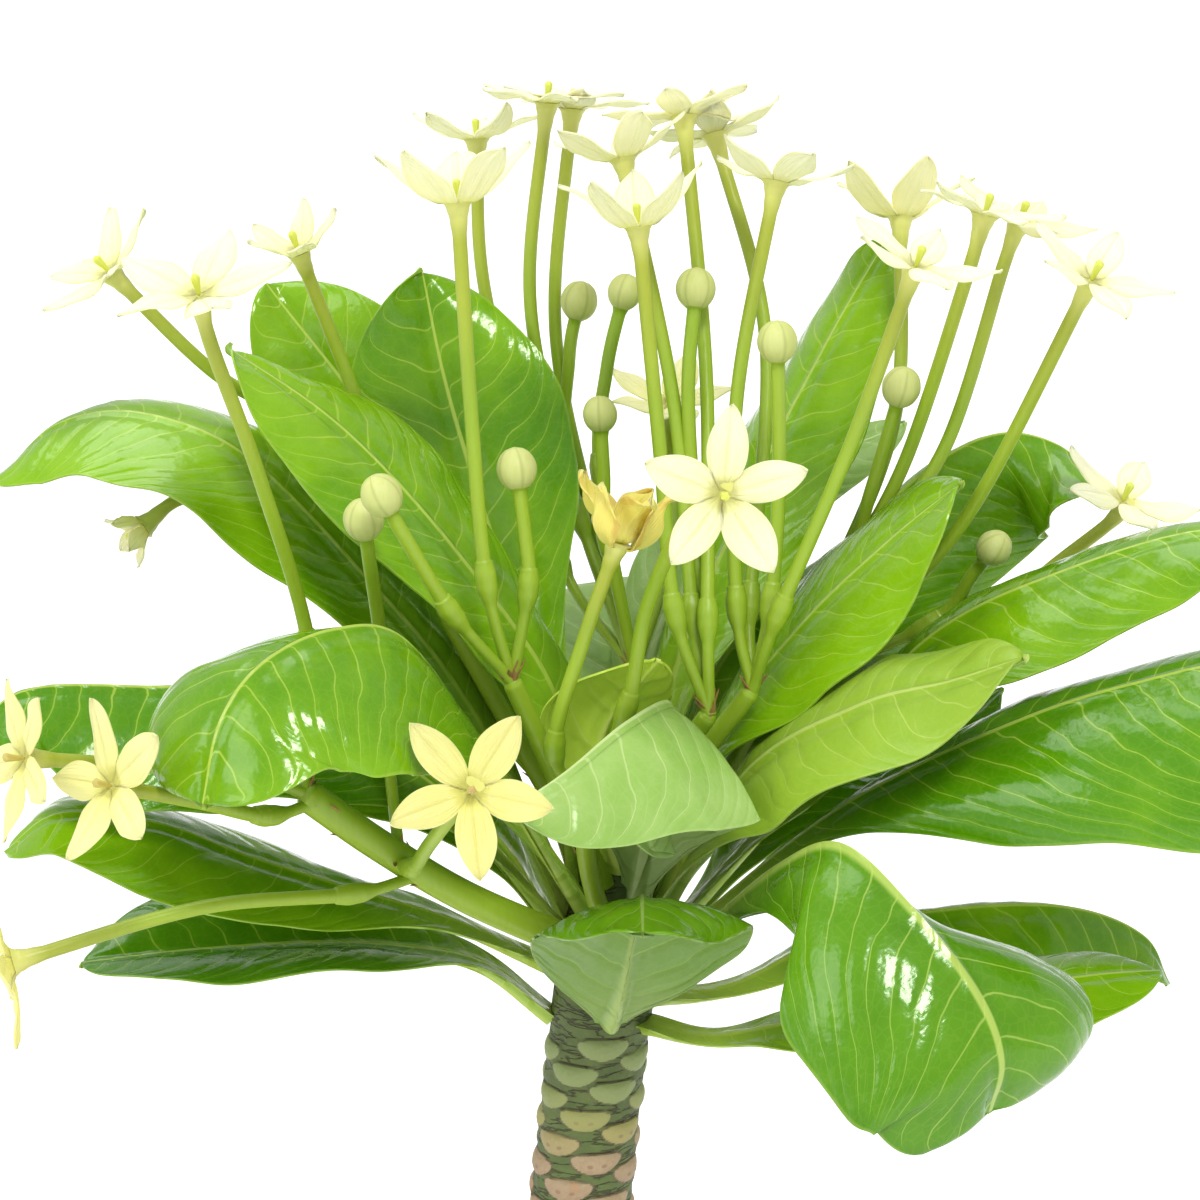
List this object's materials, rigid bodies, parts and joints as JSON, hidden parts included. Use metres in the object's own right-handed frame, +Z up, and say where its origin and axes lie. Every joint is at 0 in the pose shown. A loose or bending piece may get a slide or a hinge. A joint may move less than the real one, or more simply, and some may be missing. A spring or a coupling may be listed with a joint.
{
  "type": "potted vulcan palm",
  "caption": "Potted succulent palm-like plant with a scarred trunk, a crown of glossy paddle leaves and sprays of long-tubed cream star flowers.",
  "frame": {"origin": "centre of the pot's flat foot, on the surface it stands on", "axes": "+Z up along the trunk, -Y towards the viewer of the picture, +X to the right in the picture"},
  "size_m": [0.3619, 0.2608, 0.5614],
  "materials": {
    "terracotta": "matt unglazed fired clay",
    "soil": "moist crumbly potting soil",
    "bark": "dark green corky bark with pale leaf scars",
    "leaf": "glossy waxy green",
    "stem": "smooth satin pale green",
    "petal": "soft satin cream yellow"
  },
  "bodies": {
    "root": {"leaf_left_upper": "leaf", "leaf_left_rising": "leaf", "leaf_left_behind": "leaf", "leaf_back_left": "leaf", "leaf_back_right": "leaf", "leaf_back_centre": "leaf", "leaf_back_left_low": "leaf", "leaf_back_right_low": "leaf", "leaf_right_behind": "leaf", "leaf_right_pale": "leaf", "leaf_right_rising": "leaf", "leaf_far_right": "leaf", "leaf_young_right": "leaf", "leaf_right_shaded": "leaf", "leaf_right_broad": "leaf", "leaf_right_curled": "leaf", "leaf_right_low_back": "leaf", "leaf_right_low": "leaf", "leaf_front_cupped": "leaf", "leaf_front_pale": "leaf", "leaf_young_centre": "leaf", "leaf_left_front": "leaf", "leaf_far_left": "leaf", "leaf_left_low": "leaf", "leaf_left_lowest": "leaf", "leaf_left_shaded": "leaf", "spray_left_front": "stem", "spray_left_centre": "stem", "spray_left_back": "stem", "spray_front": "stem", "spray_centre": "stem", "spray_right_centre": "stem", "spray_right": "stem", "spray_back": "stem", "bloom_left_front_1": "petal", "bloom_left_front_2": "petal", "bloom_left_front_3": "petal", "bloom_left_front_4": "petal", "bloom_left_front_5": "petal", "bloom_left_centre_1": "petal", "bloom_left_back_1": "petal", "bloom_left_back_2": "petal", "bloom_left_back_3": "petal", "bloom_front_1": "petal", "bloom_front_2": "petal", "bloom_centre_1": "petal", "bloom_centre_2": "petal", "bloom_top_pair": "petal", "bloom_right_centre_1": "petal", "bloom_right_centre_2": "petal", "bloom_right_1": "petal", "bloom_right_pair": "petal", "bloom_right_4": "petal", "bloom_right_6": "petal", "bloom_back_1": "petal", "bloom_back_pair": "petal", "bloom_back_4": "petal", "pot": "terracotta", "soil": "soil", "trunk": "bark"}
  },
  "joints": []
}
